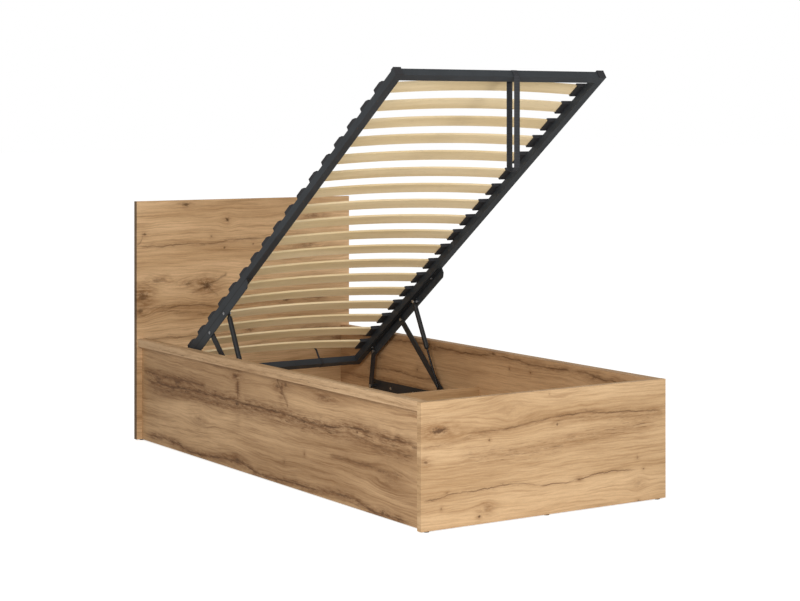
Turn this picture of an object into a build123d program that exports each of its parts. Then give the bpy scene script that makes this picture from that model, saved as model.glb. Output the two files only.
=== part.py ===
from build123d import *

import os
from math import atan2, cos, degrees, hypot, radians, sin

os.makedirs("parts", exist_ok=True)

# Single storage bed with a lifting slatted base, shown raised; millimetres
# X runs across the bed, Y from the foot (-Y) to the head (+Y), Z up from the floor

# Boards of the bed box
bed_width = 996.0
bed_length = 2062.0
glide_height = 4.0
glide_diameter = 18.0
glide_inset = 28.0
footboard_height = 402.0
headboard_height = 951.0
end_board_thickness = 22.0
side_board_thickness = 18.0
side_board_setback = 24.0
strip_height = 30.0
strip_inset = 3.5
partition_thickness = 16.0
floor_thickness = 6.0
batten_size = 20.0
batten_lift = 4.0

# Steel frame of the slatted base
frame_side_gap = 20.25
frame_foot_gap = 11.0
frame_head_gap = 16.0
frame_rest_gap = 1.0
tube_width = 30.0
tube_height = 26.0
tube_wall = 1.5
cap_plate = 3.0
cap_proud = 4.0
cap_lip = 20.0
cap_plug = 14.0
cap_fit = 0.2

# Sprung slats in their plastic holders
slat_count = 18
slat_width = 50.0
slat_thickness = 8.0
slat_crown = 18.0
slat_lift = 1.5
slat_end_inset = 11.0
first_slat = 114.9
last_slat_inset = 114.9
holder_width = 58.0
holder_height = 15.5
holder_overhang = 27.0
holder_corner = 8.0
holder_chamfer = 2.0
slat_fit = 0.15

# Mattress stop at the head end: a bent rod on two bands round the crossbar
stop_rod_diameter = 8.0
stop_rod_sides = 12
stop_leg_from_middle = 243.0
stop_height = 66.0
stop_bend = 22.0
stop_band_width = 10.0
stop_band_thickness = 1.5

# Pull strap looped round the foot crossbar
strap_from_middle = 50.0
strap_width = 24.0
strap_thickness = 1.8
strap_gap = 0.3
strap_drop = 341.0

# Lift linkage: two links a side, and a gas spring from the long arm to the frame
pivot_height = 182.0
arm_pivot_from_middle = 165.35
arm_length = 443.22
arm_angle_raised = 41.43
arm_angle_lowered = 8.24
frame_tilt_raised = 35.86
pivot_drop = 16.5
link_spacing = 254.0
spring_pin_lead = 140.0
spring_foot_on_arm = 57.0
bar_width = 26.0
bar_thickness = 5.0
plate_thickness = 3.0
plate_height = 46.0
plate_overhang = 25.0
plate_corner = 10.0
running_gap = 0.3
web_gap = 0.5
pivot_diameter = 8.0
shoulder_diameter = 14.0
pivot_head_diameter = 12.0
pivot_head_height = 3.0
outer_nut_diameter = 12.0
outer_nut_height = 2.5
bore_clearance = 0.05
angle_thickness = 3.0
angle_height = 33.0
angle_width = 20.0
angle_lead = 222.0
angle_tail = 24.0
angle_corner = 14.0

# Gas springs
cylinder_diameter = 19.0
cylinder_reach = 199.0
cylinder_start = 16.0
cylinder_wall = 2.0
gland_length = 12.0
spring_rod_diameter = 8.0
piston_length = 8.0
eye_diameter = 16.0
eye_thickness = 8.0
spring_pin_diameter = 8.0
spring_pin_collar = 11.0
spring_gap = 1.0

# Screws and bolts
plate_screw_from_pivot = 117.0
plate_screw_diameter = 5.0
plate_screw_length = 15.0
plate_screw_head = 11.0
plate_screw_head_height = 2.5
shank_sides = 6
bracket_bolt_diameter = 6.0
bracket_bolt_length = 12.0
bracket_bolt_head = 10.0
bracket_bolt_head_height = 3.0
bracket_bolt_from_flange_edge = 6.0
bracket_bolt_first = 70.0
bracket_bolt_before_arm = 125.0
bracket_bolt_last = 35.0

# Places that follow from the sizes
half_width = bed_width / 2
half_length = bed_length / 2
box_bottom = glide_height
box_top = box_bottom + footboard_height
end_inner = half_length - end_board_thickness
side_outer = half_width - side_board_setback
side_inner = side_outer - side_board_thickness
floor_under = box_bottom + batten_lift + batten_size
floor_top = floor_under + floor_thickness
frame_half = side_inner - frame_side_gap
frame_length = 2 * end_inner - frame_foot_gap - frame_head_gap
rail_inner = frame_half - tube_width
rail_middle = frame_half - tube_width / 2
crossbar_length = 2 * rail_inner

# Linkage lowered: the frame lies level, just above the partition
lowered_arm = radians(arm_angle_lowered)
arm_top_y_lowered = arm_pivot_from_middle + arm_length * cos(lowered_arm)
arm_top_z_lowered = pivot_height + arm_length * sin(lowered_arm)
frame_under_lowered = arm_top_z_lowered + pivot_drop
frame_foot_lowered = -end_inner + frame_foot_gap
arm_station = arm_top_y_lowered - frame_foot_lowered
link_station = arm_station + link_spacing
spring_station = arm_station - spring_pin_lead
partition_height = frame_under_lowered - frame_rest_gap - floor_top

# Linkage raised: the pose in which the bed is modelled
raised_arm = radians(arm_angle_raised)
tilt = radians(frame_tilt_raised)
arm_top_y = arm_pivot_from_middle + arm_length * cos(raised_arm)
arm_top_z = pivot_height + arm_length * sin(raised_arm)
frame_foot_y = arm_top_y - arm_station * cos(tilt) + pivot_drop * sin(tilt)
frame_foot_z = arm_top_z + arm_station * sin(tilt) + pivot_drop * cos(tilt)
link_top_y = arm_top_y + link_spacing * cos(tilt)
link_top_z = arm_top_z - link_spacing * sin(tilt)
spring_top_y = arm_top_y - spring_pin_lead * cos(tilt)
spring_top_z = arm_top_z + spring_pin_lead * sin(tilt)
spring_foot_y = arm_pivot_from_middle + spring_foot_on_arm * cos(raised_arm)
spring_foot_z = pivot_height + spring_foot_on_arm * sin(raised_arm)

# The short link's lower pivot is as far from its upper pivot lowered as raised
link_top_y_lowered = arm_top_y_lowered + link_spacing
link_top_z_lowered = arm_top_z_lowered
square_difference = link_top_y**2 - link_top_y_lowered**2
rise_difference = (link_top_z - pivot_height) ** 2 - (link_top_z_lowered - pivot_height) ** 2
link_pivot_y = (square_difference + rise_difference) / (2 * (link_top_y - link_top_y_lowered))
link_length = hypot(link_top_y - link_pivot_y, link_top_z - pivot_height)
link_angle_raised = atan2(link_top_z - pivot_height, link_top_y - link_pivot_y)
link_angle_lowered = atan2(link_top_z_lowered - pivot_height, link_top_y_lowered - link_pivot_y)

# The gas spring's length and angle, raised and lowered
spring_angle = atan2(spring_foot_z - spring_top_z, spring_foot_y - spring_top_y)
spring_length = hypot(spring_foot_y - spring_top_y, spring_foot_z - spring_top_z)
spring_foot_y_lowered = arm_pivot_from_middle + spring_foot_on_arm * cos(lowered_arm)
spring_foot_z_lowered = pivot_height + spring_foot_on_arm * sin(lowered_arm)
spring_run_lowered = spring_foot_y_lowered - (arm_top_y_lowered - spring_pin_lead)
spring_drop_lowered = spring_foot_z_lowered - arm_top_z_lowered
spring_angle_lowered = atan2(spring_drop_lowered, spring_run_lowered)
spring_length_lowered = hypot(spring_run_lowered, spring_drop_lowered)
spring_stroke = spring_length - spring_length_lowered

# Where the mechanism's layers lie across the bed, from the side board inward
plate_inner = side_inner - plate_thickness
web_outer = frame_half
web_inner = web_outer - angle_thickness
bar_outer = web_inner - web_gap
bar_inner = bar_outer - bar_thickness
spring_middle = bar_inner - spring_gap - cylinder_diameter / 2
eye_outer = spring_middle + eye_thickness / 2
eye_inner = spring_middle - eye_thickness / 2
flange_inner = web_outer - angle_width

# Planes: the raised frame's own plane, and planes square to it
along_frame = (0, cos(tilt), -sin(tilt))
out_of_frame = (0, sin(tilt), cos(tilt))
frame_plane = Plane(origin=(0, frame_foot_y, frame_foot_z), x_dir=(1, 0, 0), z_dir=out_of_frame)


def frame_side(x):
    """Plane at x whose axes run along the raised frame and out of its mattress side."""
    return Plane(origin=(x, frame_foot_y, frame_foot_z), x_dir=along_frame, z_dir=(1, 0, 0))


def frame_section(station):
    """Plane square to the rails, at a distance along the frame from its foot end."""
    origin = frame_plane.from_local_coords((0, station, 0))
    return Plane(origin=origin, x_dir=(1, 0, 0), z_dir=(0, -cos(tilt), sin(tilt)))


def upright(x, y=0.0, z=0.0, angle=0.0):
    """Upright lengthwise plane at x, its first axis turned up by an angle in radians."""
    return Plane(origin=(x, y, z), x_dir=(0, cos(angle), sin(angle)), z_dir=(1, 0, 0))


# Headboard
head_face = Plane(origin=(0, end_inner, 0), x_dir=(1, 0, 0), z_dir=(0, -1, 0))
foot_face = Plane(origin=(0, -end_inner, 0), x_dir=(1, 0, 0), z_dir=(0, -1, 0))
with BuildPart() as headboard:
    with BuildSketch(head_face):
        with Locations((0, box_bottom)):
            Rectangle(bed_width, headboard_height, align=(Align.CENTER, Align.MIN))
    extrude(amount=-end_board_thickness)

# Footboard
with BuildPart() as footboard:
    with BuildSketch(foot_face):
        with Locations((0, box_bottom)):
            Rectangle(bed_width, footboard_height, align=(Align.CENTER, Align.MIN))
    extrude(amount=end_board_thickness)

# Right side board, bored in its inner face for the base plate's screws
screw_middle = (arm_pivot_from_middle + link_pivot_y) / 2
screw_first = arm_pivot_from_middle + plate_screw_from_pivot
screw_last = link_pivot_y - plate_screw_from_pivot
screw_spots = [(screw_first, pivot_height), (screw_middle, pivot_height), (screw_last, pivot_height)]
screw_bore_depth = plate_screw_length - plate_thickness
with BuildPart() as side_right:
    with BuildSketch(upright(side_inner)):
        with Locations((0, box_bottom)):
            Rectangle(2 * end_inner, footboard_height, align=(Align.CENTER, Align.MIN))
    extrude(amount=side_board_thickness)
    with BuildSketch(upright(side_inner)):
        with Locations(*screw_spots):
            RegularPolygon(plate_screw_diameter / 2 + bore_clearance, shank_sides)
    extrude(amount=screw_bore_depth, mode=Mode.SUBTRACT)

# Left side board
with BuildPart() as side_left:
    mirror(side_right.part, about=Plane.YZ)

# Strips along the outside of the side boards, flush with the footboard's top
strip_outer = half_width - strip_inset
with BuildPart() as strip_right:
    with BuildSketch(upright(side_outer)):
        with Locations((0, box_top)):
            Rectangle(2 * end_inner, strip_height, align=(Align.CENTER, Align.MAX))
    extrude(amount=strip_outer - side_outer)
with BuildPart() as strip_left:
    mirror(strip_right.part, about=Plane.YZ)

# Partition that divides the storage space, standing on the floor panels
with BuildPart() as partition:
    with BuildSketch(Plane.XY.offset(floor_top)):
        Rectangle(2 * side_inner, partition_thickness)
    extrude(amount=partition_height)

# Floor panels, meeting under the partition
with BuildPart() as floor_panel_foot:
    with BuildSketch(Plane.XY.offset(floor_under)):
        Rectangle(2 * side_inner, end_inner, align=(Align.CENTER, Align.MAX))
    extrude(amount=floor_thickness)
with BuildPart() as floor_panel_head:
    with BuildSketch(Plane.XY.offset(floor_under)):
        Rectangle(2 * side_inner, end_inner, align=(Align.CENTER, Align.MIN))
    extrude(amount=floor_thickness)

# Battens that carry the floor panels
batten_under = Plane.XY.offset(box_bottom + batten_lift)
with BuildPart() as batten_right:
    with BuildSketch(batten_under):
        with Locations((side_inner, 0)):
            Rectangle(batten_size, 2 * end_inner, align=(Align.MAX, Align.CENTER))
    extrude(amount=batten_size)
with BuildPart() as batten_left:
    mirror(batten_right.part, about=Plane.YZ)
cross_batten_length = 2 * (side_inner - batten_size)
with BuildPart() as batten_foot:
    with BuildSketch(batten_under):
        with Locations((0, -end_inner)):
            Rectangle(cross_batten_length, batten_size, align=(Align.CENTER, Align.MIN))
    extrude(amount=batten_size)
with BuildPart() as batten_head:
    with BuildSketch(batten_under):
        with Locations((0, end_inner)):
            Rectangle(cross_batten_length, batten_size, align=(Align.CENTER, Align.MAX))
    extrude(amount=batten_size)
with BuildPart() as batten_middle:
    with BuildSketch(batten_under):
        Rectangle(cross_batten_length, batten_size)
    extrude(amount=batten_size)

# Glides under the two end boards
glide_x = half_width - glide_inset
glide_y = half_length - end_board_thickness / 2
glide_spots = [(x, y) for x in (-glide_x, 0, glide_x) for y in (-glide_y, glide_y)]
with BuildPart() as floor_glides:
    with BuildSketch(Plane.XY):
        with Locations(*glide_spots):
            Circle(glide_diameter / 2)
    extrude(amount=glide_height)

# Right rail of the slatted frame: a closed rectangular tube, open at its ends for the caps
angle_start = spring_station - angle_lead
angle_end = link_station + angle_tail
bolt_x = flange_inner + bracket_bolt_from_flange_edge
bolt_stations = [
    angle_start + bracket_bolt_first,
    arm_station - bracket_bolt_before_arm,
    angle_end - bracket_bolt_last,
]
bolt_spots = [(bolt_x, station) for station in bolt_stations]
with BuildPart() as rail_right:
    with BuildSketch(frame_section(0)):
        with Locations((rail_middle, tube_height / 2)):
            Rectangle(tube_width, tube_height)
            Rectangle(tube_width - 2 * tube_wall, tube_height - 2 * tube_wall, mode=Mode.SUBTRACT)
    extrude(amount=-frame_length)
    with BuildSketch(frame_plane):
        with Locations(*bolt_spots):
            RegularPolygon(bracket_bolt_diameter / 2 + bore_clearance, shank_sides)
    extrude(amount=tube_wall, mode=Mode.SUBTRACT)
with BuildPart() as rail_left:
    mirror(rail_right.part, about=Plane.YZ)

# Crossbars between the rails, at the foot and head ends
with BuildPart() as foot_crossbar:
    with BuildSketch(frame_side(-rail_inner)):
        with Locations((tube_width / 2, tube_height / 2)):
            Rectangle(tube_width, tube_height)
            Rectangle(tube_width - 2 * tube_wall, tube_height - 2 * tube_wall, mode=Mode.SUBTRACT)
    extrude(amount=crossbar_length)
with BuildPart() as head_crossbar:
    with BuildSketch(frame_side(-rail_inner)):
        with Locations((frame_length - tube_width / 2, tube_height / 2)):
            Rectangle(tube_width, tube_height)
            Rectangle(tube_width - 2 * tube_wall, tube_height - 2 * tube_wall, mode=Mode.SUBTRACT)
    extrude(amount=crossbar_length)

# Corner caps: a plate over each rail end, a lip on the mattress side and a plug in the tube
cap_outline_height = tube_height + cap_proud
plug_width = tube_width - 2 * tube_wall - 2 * cap_fit
plug_height = tube_height - 2 * tube_wall - 2 * cap_fit
with BuildPart() as corner_caps:
    with BuildSketch(frame_section(-cap_plate)):
        with Locations((rail_middle, 0)):
            Rectangle(tube_width, cap_outline_height, align=(Align.CENTER, Align.MIN))
    extrude(amount=-cap_plate)
    with BuildSketch(frame_section(0)):
        with Locations((rail_middle, tube_height)):
            Rectangle(tube_width, cap_proud, align=(Align.CENTER, Align.MIN))
        with Locations((rail_middle, tube_height / 2)):
            Rectangle(plug_width, plug_height)
    extrude(amount=-cap_plug)
    with BuildSketch(frame_section(frame_length + cap_plate)):
        with Locations((rail_middle, 0)):
            Rectangle(tube_width, cap_outline_height, align=(Align.CENTER, Align.MIN))
    extrude(amount=cap_plate)
    with BuildSketch(frame_section(frame_length)):
        with Locations((rail_middle, tube_height)):
            Rectangle(tube_width, cap_proud, align=(Align.CENTER, Align.MIN))
        with Locations((rail_middle, tube_height / 2)):
            Rectangle(plug_width, plug_height)
    extrude(amount=cap_plug)
    mirror(about=Plane.YZ)

# Slats: each is a bar bent to a shallow arc, higher in the middle on the mattress side
slat_half = frame_half - slat_end_inset
slat_under = tube_height + slat_lift
slat_step = (frame_length - first_slat - last_slat_inset) / (slat_count - 1)
slat_stations = [first_slat + slat_step * i for i in range(slat_count)]

slats = []
for station in slat_stations:
    with BuildPart() as slat:
        with BuildSketch(frame_section(station)):
            with BuildLine():
                low = ThreePointArc(
                    (-slat_half, slat_under),
                    (0, slat_under + slat_crown),
                    (slat_half, slat_under),
                )
                high = ThreePointArc(
                    (-slat_half, slat_under + slat_thickness),
                    (0, slat_under + slat_crown + slat_thickness),
                    (slat_half, slat_under + slat_thickness),
                )
                Line(low @ 0, high @ 0)
                Line(low @ 1, high @ 1)
            make_face()
        extrude(amount=slat_width / 2, both=True)
    slats.append(slat)

# Slat holders on both rails, each with a pocket that the slat's end slides into
holder_inner = rail_inner - holder_overhang
holder_length = frame_half - holder_inner
with BuildPart() as holder_pair:
    with BuildSketch(frame_plane.offset(tube_height)):
        with Locations((frame_half, first_slat)):
            Rectangle(holder_length, holder_width, align=(Align.MAX, Align.CENTER))
    extrude(amount=holder_height)
    corners = holder_pair.edges().filter_by(Axis(origin=(0, 0, 0), direction=out_of_frame))
    chamfer(corners.sort_by(Axis.X)[-2:], length=holder_corner)
    rims = holder_pair.faces().sort_by(Axis(origin=(0, 0, 0), direction=out_of_frame))[-1]
    chamfer(rims.edges(), length=holder_chamfer)
    mirror(about=Plane.YZ)
    with BuildSketch(frame_section(first_slat)):
        with BuildLine():
            low = ThreePointArc(
                (-slat_half - slat_fit, slat_under - slat_fit),
                (0, slat_under + slat_crown - slat_fit),
                (slat_half + slat_fit, slat_under - slat_fit),
            )
            high = ThreePointArc(
                (-slat_half - slat_fit, slat_under + slat_thickness + slat_fit),
                (0, slat_under + slat_crown + slat_thickness + slat_fit),
                (slat_half + slat_fit, slat_under + slat_thickness + slat_fit),
            )
            Line(low @ 0, high @ 0)
            Line(low @ 1, high @ 1)
        make_face()
    extrude(amount=slat_width / 2 + slat_fit, both=True, mode=Mode.SUBTRACT)
with BuildPart() as slat_holders:
    for i in range(slat_count):
        add(holder_pair.part.translate(Vector(*along_frame) * slat_step * i))

# Mattress stop: a bent rod whose feet are bands round the head crossbar
stop_station = frame_length - tube_width / 2
stop_foot = tube_height + stop_band_thickness / 2
band_outer_width = tube_width + 2 * stop_band_thickness
band_outer_height = tube_height + 2 * stop_band_thickness
with BuildPart() as mattress_stop:
    with BuildLine(frame_section(stop_station)) as stop_path:
        FilletPolyline(
            (-stop_leg_from_middle, stop_foot),
            (-stop_leg_from_middle, tube_height + stop_height),
            (stop_leg_from_middle, tube_height + stop_height),
            (stop_leg_from_middle, stop_foot),
            radius=stop_bend,
        )
    stop_start = Plane(origin=stop_path.line @ 0, z_dir=stop_path.line % 0)
    with BuildSketch(stop_start):
        RegularPolygon(stop_rod_diameter / 2, stop_rod_sides)
    sweep(path=stop_path.line)
    for leg in (-stop_leg_from_middle, stop_leg_from_middle):
        with BuildSketch(frame_side(leg)):
            with Locations((stop_station, tube_height / 2)):
                Rectangle(band_outer_width, band_outer_height)
                Rectangle(tube_width, tube_height, mode=Mode.SUBTRACT)
        extrude(amount=stop_band_width / 2, both=True)

# Pull strap: a webbing loop over the foot crossbar, its two strands hanging plumb
front_low = frame_side(0).from_local_coords((0, 0, 0))
front_high = frame_side(0).from_local_coords((0, tube_height, 0))
back_high = frame_side(0).from_local_coords((tube_width, tube_height, 0))
strap_half = (back_high.Y - front_low.Y) / 2
strap_bottom = front_high.Z - strap_drop
strap_turn = strap_bottom + strap_half + strap_gap + strap_thickness

with BuildPart() as pull_strap:
    with BuildSketch(upright(strap_from_middle)) as strap_outside:
        with BuildLine():
            Polyline(
                (front_low.Y, strap_turn),
                (front_low.Y, front_low.Z),
                (front_high.Y, front_high.Z),
                (back_high.Y, back_high.Z),
                (back_high.Y, strap_turn),
            )
            ThreePointArc(
                (front_low.Y, strap_turn),
                (front_low.Y + strap_half, strap_turn - strap_half),
                (back_high.Y, strap_turn),
            )
        make_face()
        offset(amount=strap_gap + strap_thickness, kind=Kind.ARC)
    extrude(amount=strap_width / 2, both=True)
    with BuildSketch(upright(strap_from_middle)) as strap_inside:
        with BuildLine():
            Polyline(
                (front_low.Y, strap_turn),
                (front_low.Y, front_low.Z),
                (front_high.Y, front_high.Z),
                (back_high.Y, back_high.Z),
                (back_high.Y, strap_turn),
            )
            ThreePointArc(
                (front_low.Y, strap_turn),
                (front_low.Y + strap_half, strap_turn - strap_half),
                (back_high.Y, strap_turn),
            )
        make_face()
        offset(amount=strap_gap, kind=Kind.ARC)
    extrude(amount=strap_width / 2, both=True, mode=Mode.SUBTRACT)

# Right base plate: a flat bar on the side board with a spacer at each pivot and the long arm's stud
lower_pivots = [(arm_pivot_from_middle, pivot_height), (link_pivot_y, pivot_height)]
plate_middle = (arm_pivot_from_middle + link_pivot_y) / 2
plate_length = link_pivot_y - arm_pivot_from_middle + 2 * plate_overhang
stud_end = bar_inner - running_gap
shoulder_end = bar_outer + running_gap
with BuildPart() as base_plate_right:
    with BuildSketch(upright(plate_inner)):
        with Locations((plate_middle, pivot_height)):
            RectangleRounded(plate_length, plate_height, plate_corner)
        with Locations(*screw_spots):
            RegularPolygon(plate_screw_diameter / 2 + bore_clearance, shank_sides, mode=Mode.SUBTRACT)
    extrude(amount=plate_thickness)
    with BuildSketch(upright(shoulder_end)):
        with Locations(*lower_pivots):
            Circle(shoulder_diameter / 2)
    extrude(amount=plate_inner - shoulder_end)
    with BuildSketch(upright(stud_end, arm_pivot_from_middle, pivot_height)):
        Circle(pivot_diameter / 2)
    extrude(amount=shoulder_end - stud_end)
with BuildPart() as base_plate_left:
    mirror(base_plate_right.part, about=Plane.YZ)

# Screws that hold the base plates to the side boards
with BuildPart() as base_plate_screws:
    with BuildSketch(upright(plate_inner - plate_screw_head_height)):
        with Locations(*screw_spots):
            Circle(plate_screw_head / 2)
    extrude(amount=plate_screw_head_height)
    with BuildSketch(upright(plate_inner)):
        with Locations(*screw_spots):
            RegularPolygon(plate_screw_diameter / 2, shank_sides)
    extrude(amount=plate_screw_length)
    mirror(about=Plane.YZ)

# Riveted heads on the long arms' studs
with BuildPart() as lower_pivot_heads:
    with BuildSketch(upright(stud_end, arm_pivot_from_middle, pivot_height)):
        Circle(pivot_head_diameter / 2)
    extrude(amount=-pivot_head_height)
    mirror(about=Plane.YZ)

# Right long arm: a flat bar with round ends and a running bore at each pivot
with BuildPart() as long_arm_right:
    with BuildSketch(upright(bar_inner, arm_pivot_from_middle, pivot_height, raised_arm)):
        with Locations((arm_length / 2, 0)):
            SlotCenterToCenter(arm_length, bar_width)
        with Locations((0, 0), (arm_length, 0)):
            Circle(pivot_diameter / 2 + bore_clearance, mode=Mode.SUBTRACT)
    extrude(amount=bar_thickness)
with BuildPart() as long_arm_left:
    mirror(long_arm_right.part, about=Plane.YZ)

# Right short link, bored alike; it hangs from its upper pivot
with BuildPart() as short_link_right:
    with BuildSketch(upright(bar_inner, link_pivot_y, pivot_height, link_angle_raised)):
        with Locations((link_length / 2, 0)):
            SlotCenterToCenter(link_length, bar_width)
        with Locations((0, 0), (link_length, 0)):
            Circle(pivot_diameter / 2 + bore_clearance, mode=Mode.SUBTRACT)
    extrude(amount=bar_thickness)
with BuildPart() as short_link_left:
    mirror(short_link_right.part, about=Plane.YZ)

# Rivets in the short links' lower ends, flush there with the link, a running gap from the spacer
with BuildPart() as link_foot_rivets:
    with BuildSketch(upright(bar_inner - running_gap, link_pivot_y, pivot_height)):
        Circle(pivot_head_diameter / 2)
    extrude(amount=-pivot_head_height)
    with BuildSketch(upright(bar_inner - running_gap, link_pivot_y, pivot_height)):
        Circle(pivot_diameter / 2)
    extrude(amount=bar_thickness + running_gap)
    mirror(about=Plane.YZ)

# Right upper bracket: a steel angle under the rail, its web outside and its flange under the tube
with BuildPart() as upper_bracket_right:
    with BuildSketch(frame_side(web_inner)):
        with BuildLine():
            Polyline(
                (angle_start, 0),
                (angle_start, -angle_height + angle_corner),
                (angle_start + angle_corner, -angle_height),
                (angle_end - angle_corner, -angle_height),
                (angle_end, -angle_height + angle_corner),
                (angle_end, 0),
                close=True,
            )
        make_face()
        with Locations((arm_station, -pivot_drop), (link_station, -pivot_drop)):
            Circle(pivot_diameter / 2 + bore_clearance, mode=Mode.SUBTRACT)
        with Locations((spring_station, -pivot_drop)):
            Circle(spring_pin_diameter / 2 + bore_clearance, mode=Mode.SUBTRACT)
    extrude(amount=angle_thickness)
    with BuildSketch(frame_plane):
        with Locations((web_inner, (angle_start + angle_end) / 2)):
            Rectangle(angle_width - angle_thickness, angle_end - angle_start, align=(Align.MAX, Align.CENTER))
        with Locations(*bolt_spots):
            RegularPolygon(bracket_bolt_diameter / 2 + bore_clearance, shank_sides, mode=Mode.SUBTRACT)
    extrude(amount=-angle_thickness)
with BuildPart() as upper_bracket_left:
    mirror(upper_bracket_right.part, about=Plane.YZ)

# Bolts that hold the brackets under the rails
with BuildPart() as bracket_bolts:
    with BuildSketch(frame_plane.offset(-angle_thickness - bracket_bolt_head_height)):
        with Locations(*bolt_spots):
            RegularPolygon(bracket_bolt_head / 2, 6)
    extrude(amount=bracket_bolt_head_height)
    with BuildSketch(frame_plane.offset(-angle_thickness)):
        with Locations(*bolt_spots):
            RegularPolygon(bracket_bolt_diameter / 2, shank_sides)
    extrude(amount=bracket_bolt_length)
    mirror(about=Plane.YZ)

# Upper pivot bolts of the long arms and the short links, and the gas springs' shouldered pins
arm_head_outer = bar_inner - running_gap
pin_head_outer = eye_inner - running_gap
collar_inner = eye_outer + running_gap
bar_pivots = [(arm_top_y, arm_top_z), (link_top_y, link_top_z)]
upper_pivots = bar_pivots + [(spring_top_y, spring_top_z)]
with BuildPart() as upper_pivot_bolts:
    with BuildSketch(upright(arm_head_outer)):
        with Locations(*bar_pivots):
            Circle(pivot_head_diameter / 2)
    extrude(amount=-pivot_head_height)
    with BuildSketch(upright(arm_head_outer)):
        with Locations(*bar_pivots):
            Circle(pivot_diameter / 2)
    extrude(amount=web_outer - arm_head_outer)
    with BuildSketch(upright(pin_head_outer, spring_top_y, spring_top_z)):
        Circle(pivot_head_diameter / 2)
    extrude(amount=-pivot_head_height)
    with BuildSketch(upright(pin_head_outer, spring_top_y, spring_top_z)):
        Circle(spring_pin_diameter / 2)
    extrude(amount=web_outer - pin_head_outer)
    with BuildSketch(upright(collar_inner, spring_top_y, spring_top_z)):
        Circle(spring_pin_collar / 2)
    extrude(amount=web_inner - collar_inner)
    with BuildSketch(upright(web_outer)):
        with Locations(*upper_pivots):
            RegularPolygon(outer_nut_diameter / 2, 6)
    extrude(amount=outer_nut_height)
    mirror(about=Plane.YZ)

# Right gas spring cylinder: an eye on the shouldered pin, then a tube with a gland at its end
spring_plane = upright(spring_middle, spring_top_y, spring_top_z, spring_angle)
spring_axis = Axis(origin=spring_plane.origin, direction=spring_plane.x_dir)
cylinder_radius = cylinder_diameter / 2
bore_radius = cylinder_radius - cylinder_wall
gland_radius = spring_rod_diameter / 2 + bore_clearance
gland_start = cylinder_reach - gland_length
piston_end = gland_start - running_gap
bore_start = piston_end - piston_length - spring_stroke - running_gap
with BuildPart() as gas_cylinder_right:
    with BuildSketch(spring_plane):
        with BuildLine():
            Polyline(
                (cylinder_start - eye_thickness / 2, 0),
                (cylinder_start - eye_thickness / 2, eye_thickness / 2),
                (cylinder_start, eye_thickness / 2),
                (cylinder_start, cylinder_radius),
                (cylinder_reach, cylinder_radius),
                (cylinder_reach, gland_radius),
                (gland_start, gland_radius),
                (gland_start, bore_radius),
                (bore_start, bore_radius),
                (bore_start, 0),
                close=True,
            )
        make_face()
    revolve(axis=spring_axis)
    with BuildSketch(upright(eye_inner, spring_top_y, spring_top_z, spring_angle)):
        Circle(eye_diameter / 2)
        Rectangle(cylinder_start, eye_thickness, align=(Align.MIN, Align.CENTER))
    extrude(amount=eye_thickness)
    with BuildSketch(upright(eye_inner, spring_top_y, spring_top_z)):
        Circle(spring_pin_diameter / 2 + bore_clearance)
    extrude(amount=eye_thickness, mode=Mode.SUBTRACT)
with BuildPart() as gas_cylinder_left:
    mirror(gas_cylinder_right.part, about=Plane.YZ)

# Right gas spring rod: a piston, the rod and an eye whose pin stops short of the long arm
rod_radius = spring_rod_diameter / 2
piston_radius = bore_radius - bore_clearance
rod_pin_end = bar_inner - running_gap
with BuildPart() as gas_rod_right:
    with BuildSketch(spring_plane):
        with BuildLine():
            Polyline(
                (piston_end - piston_length, 0),
                (piston_end - piston_length, piston_radius),
                (piston_end, piston_radius),
                (piston_end, rod_radius),
                (spring_length - eye_diameter / 2, rod_radius),
                (spring_length - eye_diameter / 2, 0),
                close=True,
            )
        make_face()
    revolve(axis=spring_axis)
    with BuildSketch(upright(eye_inner, spring_foot_y, spring_foot_z, spring_angle)):
        Circle(eye_diameter / 2)
        Rectangle(cylinder_start, eye_thickness, align=(Align.MAX, Align.CENTER))
    extrude(amount=eye_thickness)
    with BuildSketch(upright(eye_outer, spring_foot_y, spring_foot_z)):
        Circle(spring_pin_collar / 2)
    extrude(amount=rod_pin_end - eye_outer)
with BuildPart() as gas_rod_left:
    mirror(gas_rod_right.part, about=Plane.YZ)

# Names and files
pieces = {
    "headboard": headboard,
    "footboard": footboard,
    "side_left": side_left,
    "side_right": side_right,
    "strip_left": strip_left,
    "strip_right": strip_right,
    "partition": partition,
    "floor_panel_foot": floor_panel_foot,
    "floor_panel_head": floor_panel_head,
    "batten_left": batten_left,
    "batten_right": batten_right,
    "batten_foot": batten_foot,
    "batten_head": batten_head,
    "batten_middle": batten_middle,
    "floor_glides": floor_glides,
    "rail_left": rail_left,
    "rail_right": rail_right,
    "foot_crossbar": foot_crossbar,
    "head_crossbar": head_crossbar,
    "corner_caps": corner_caps,
    "slat_holders": slat_holders,
    "mattress_stop": mattress_stop,
    "pull_strap": pull_strap,
    "base_plate_left": base_plate_left,
    "base_plate_right": base_plate_right,
    "base_plate_screws": base_plate_screws,
    "lower_pivot_heads": lower_pivot_heads,
    "long_arm_left": long_arm_left,
    "long_arm_right": long_arm_right,
    "short_link_left": short_link_left,
    "short_link_right": short_link_right,
    "link_foot_rivets": link_foot_rivets,
    "upper_bracket_left": upper_bracket_left,
    "upper_bracket_right": upper_bracket_right,
    "bracket_bolts": bracket_bolts,
    "upper_pivot_bolts": upper_pivot_bolts,
    "gas_cylinder_left": gas_cylinder_left,
    "gas_cylinder_right": gas_cylinder_right,
    "gas_rod_left": gas_rod_left,
    "gas_rod_right": gas_rod_right,
}
for i, slat in enumerate(slats):
    pieces[f"slat_{i + 1:02d}"] = slat
for name, piece in pieces.items():
    piece.part.label = name
    export_step(piece.part, f"parts/{name}.step")

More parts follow.
